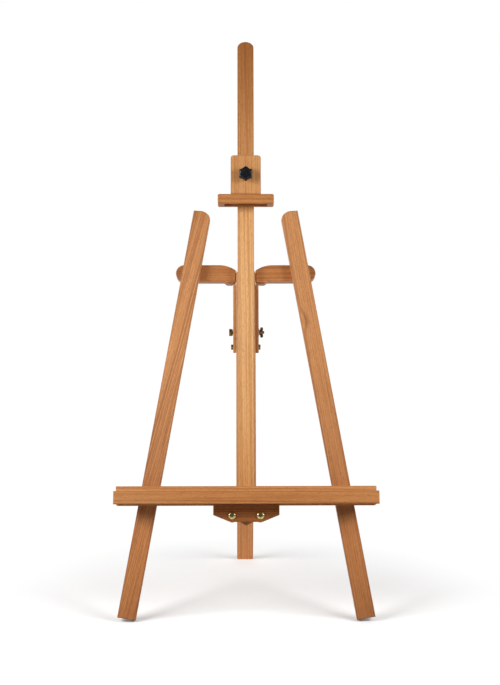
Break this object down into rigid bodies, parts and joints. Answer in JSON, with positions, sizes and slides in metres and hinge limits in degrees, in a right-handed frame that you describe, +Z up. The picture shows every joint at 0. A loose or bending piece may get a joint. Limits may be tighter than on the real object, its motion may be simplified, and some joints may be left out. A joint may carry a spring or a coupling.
{
  "type": "wooden artist easel",
  "caption": "Leaning wooden studio easel: sliding mast with a knobbed canvas clamp, a sliding tray, folding front legs on hinged wings and a folding rear leg.",
  "frame": {"origin": "bottom centre of the bounding box, on the floor that the easel stands on", "axes": "+Z up, -Y to the front where the painter stands, +X to the right as seen from the front"},
  "size_m": [0.6492, 0.58, 1.4621],
  "materials": {
    "pale_wood": "oiled, satin, straight fine grain",
    "leg_wood": "oiled, satin, straight fine grain",
    "mid_wood": "oiled, satin, straight fine grain",
    "deep_wood": "oiled, satin, straight fine grain",
    "dark_brass": "yellow-passivated, slightly dull",
    "steel": "zinc-plated",
    "black_plastic": "moulded, semi-gloss",
    "felt": "pressed felt on a thin plate"
  },
  "bodies": {
    "frame": {"spine_board": "pale_wood", "crosshead_block": "mid_wood", "left_cheek": "mid_wood", "right_cheek": "deep_wood", "crosshead_screw_1": "dark_brass", "crosshead_screw_2": "dark_brass", "crosshead_screw_3": "dark_brass", "crosshead_screw_4": "dark_brass", "left_cheek_screw_1": "dark_brass", "left_cheek_screw_2": "dark_brass", "right_cheek_screw_1": "dark_brass", "right_cheek_screw_2": "dark_brass", "mast_lock_bolt": "steel", "mast_lock_washer": "steel", "rear_pivot_bolt": "dark_brass", "rear_pivot_nut": "dark_brass", "left_pivot_spacer": "steel", "right_pivot_spacer": "steel"},
    "mast": {"mast_board": "pale_wood"},
    "mast_lock_knob": {"mast_lock_knob": "black_plastic"},
    "canvas_clamp": {"clamp_block": "mid_wood", "clamp_left_rail": "mid_wood", "clamp_right_rail": "mid_wood", "clamp_back_plate": "deep_wood", "clamp_bar": "mid_wood", "clamp_dowel_left": "pale_wood", "clamp_dowel_right": "pale_wood", "clamp_pressure_pad": "felt", "clamp_washer": "steel"},
    "clamp_knob": {"clamp_knob": "black_plastic", "clamp_screw": "steel"},
    "tray": {"tray_back_board": "leg_wood", "tray_lip": "mid_wood", "tray_shelf": "mid_wood", "tray_bracket": "deep_wood", "tray_clamp_board": "deep_wood", "left_leg_stop": "mid_wood", "right_leg_stop": "mid_wood", "left_tray_bolt": "dark_brass", "right_tray_bolt": "dark_brass", "left_tray_washer": "steel", "right_tray_washer": "steel"},
    "left_tray_nut": {"left_tray_wing_nut": "dark_brass"},
    "right_tray_nut": {"right_tray_wing_nut": "dark_brass"},
    "left_wing": {"left_wing": "deep_wood", "left_wing_pivot_bolt": "dark_brass", "left_wing_washer": "steel"},
    "right_wing": {"right_wing": "deep_wood", "right_wing_pivot_bolt": "dark_brass", "right_wing_washer": "steel"},
    "left_front_leg": {"left_front_leg": "leg_wood", "left_leg_pivot_bolt": "dark_brass", "left_leg_washer": "steel"},
    "right_front_leg": {"right_front_leg": "leg_wood", "right_leg_pivot_bolt": "dark_brass", "right_leg_washer": "steel"},
    "rear_leg": {"rear_leg": "mid_wood", "rear_lock_bolt": "dark_brass", "rear_lock_washer": "steel"},
    "rear_lock_nut": {"rear_lock_wing_nut": "dark_brass"}
  },
  "joints": [
    {"name": "mast_slide", "type": "slide", "parent": "frame", "child": "mast", "axis": [0, 0.225, 0.9744], "range_m": [0, 0.45]},
    {"name": "mast_lock_spin", "type": "hinge", "parent": "frame", "child": "mast_lock_knob", "pos_m": [0, -0.01996, 0.83989], "axis": [0, 0.9744, -0.225], "continuous": true},
    {"name": "clamp_slide", "type": "slide", "parent": "mast", "child": "canvas_clamp", "axis": [0, 0.225, 0.9744], "range_m": [-0.165, 0.285]},
    {"name": "clamp_knob_spin", "type": "hinge", "parent": "canvas_clamp", "child": "clamp_knob", "pos_m": [0, -0.07756, 1.10607], "axis": [0, -0.9744, 0.225], "continuous": true},
    {"name": "tray_slide", "type": "slide", "parent": "frame", "child": "tray", "axis": [0, 0.225, 0.9744], "range_m": [0, 0.32]},
    {"name": "left_tray_nut_spin", "type": "hinge", "parent": "tray", "child": "left_tray_nut", "pos_m": [-0.0354, -0.16779, 0.23956], "axis": [0, 0.9744, -0.225], "continuous": true},
    {"name": "right_tray_nut_spin", "type": "hinge", "parent": "tray", "child": "right_tray_nut", "pos_m": [0.0354, -0.16779, 0.23956], "axis": [0, 0.9744, -0.225], "continuous": true},
    {"name": "left_wing_fold", "type": "hinge", "parent": "frame", "child": "left_wing", "pos_m": [-0.042, -0.03293, 0.84905], "axis": [0, 0.9744, -0.225], "range_deg": [0, 78]},
    {"name": "right_wing_fold", "type": "hinge", "parent": "frame", "child": "right_wing", "pos_m": [0.042, -0.03293, 0.84905], "axis": [0, -0.9744, 0.225], "range_deg": [0, 78]},
    {"name": "left_leg_fold", "type": "hinge", "parent": "left_wing", "child": "left_front_leg", "pos_m": [-0.1403, -0.06748, 0.85189], "axis": [0, -0.9744, 0.225], "range_deg": [0, 88.1]},
    {"name": "right_leg_fold", "type": "hinge", "parent": "right_wing", "child": "right_front_leg", "pos_m": [0.1403, -0.06748, 0.85189], "axis": [0, 0.9744, -0.225], "range_deg": [0, 88.1]},
    {"name": "rear_leg_fold", "type": "hinge", "parent": "frame", "child": "rear_leg", "pos_m": [0, -0.04607, 0.6579], "axis": [-1, 0, 0], "range_deg": [0, 39.5]},
    {"name": "rear_lock_nut_spin", "type": "hinge", "parent": "rear_leg", "child": "rear_lock_nut", "pos_m": [0.038, -0.06615, 0.69818], "axis": [1, 0, 0], "continuous": true}
  ],
  "couplings": [
    {"joint": "left_leg_fold", "follows": "left_wing_fold", "ratio": 1.1288},
    {"joint": "right_leg_fold", "follows": "right_wing_fold", "ratio": 1.1288}
  ]
}
